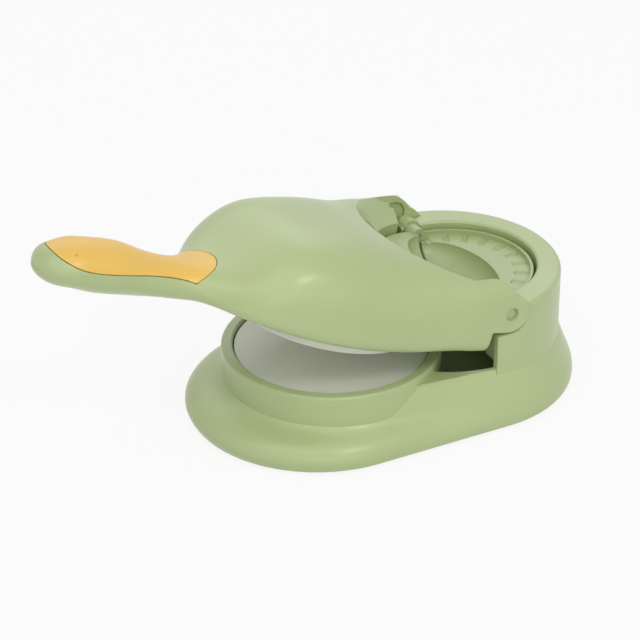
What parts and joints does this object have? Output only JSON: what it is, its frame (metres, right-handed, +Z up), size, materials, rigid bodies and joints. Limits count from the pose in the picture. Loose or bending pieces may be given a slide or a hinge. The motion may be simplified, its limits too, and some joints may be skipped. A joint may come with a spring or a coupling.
{
  "type": "dumpling maker",
  "caption": "Hand press that flattens dough under a hinged lever head and folds the skin into a dumpling in a crimping mould at the hinge end.",
  "frame": {"origin": "centre of the base's footprint on the surface it stands on", "axes": "+X from the handle towards the mould tower, +Z up, +Y across to the far side"},
  "size_m": [0.273, 0.125, 0.1198],
  "materials": {
    "green_base": "pale green moulded plastic, satin gloss",
    "green_lever": "pale green moulded plastic, satin gloss",
    "green_under": "pale green moulded plastic, matt",
    "green_pin": "green plastic pin",
    "mould": "pale green moulded plastic, satin gloss",
    "grip": "yellow-orange plastic, satin gloss",
    "white_plate": "white plastic, satin",
    "gasket": "pale grey rubber",
    "feet": "dark rubber",
    "washer": "white bearing plastic",
    "steel": "plated steel"
  },
  "bodies": {
    "base": {"base_shell": "green_base", "bottom_plate": "green_under", "rubber_feet": "feet", "base_screws": "steel", "press_plate": "white_plate", "plate_gasket": "gasket", "mould_cup": "mould", "cup_screws": "steel", "hinge_pin_near": "green_pin", "hinge_pin_far": "green_pin", "friction_washers": "washer"},
    "lever": {"lever_shell": "green_lever", "lever_cover": "green_under", "press_head": "white_plate", "head_screws": "steel", "cover_screws": "steel", "grip_insert": "grip", "grip_screw": "steel", "grip_plug": "grip"},
    "flap": {"flap": "mould", "flap_pins": "steel"}
  },
  "joints": [
    {"name": "lever_hinge", "type": "hinge", "parent": "base", "child": "lever", "pos_m": [0.039, 0, 0.0568], "axis": [0, 1, 0], "range_deg": [-14, 52]},
    {"name": "flap_hinge", "type": "hinge", "parent": "lever", "child": "flap", "pos_m": [0.039, 0, 0.0568], "axis": [0, 1, 0], "range_deg": [0, 112]}
  ]
}
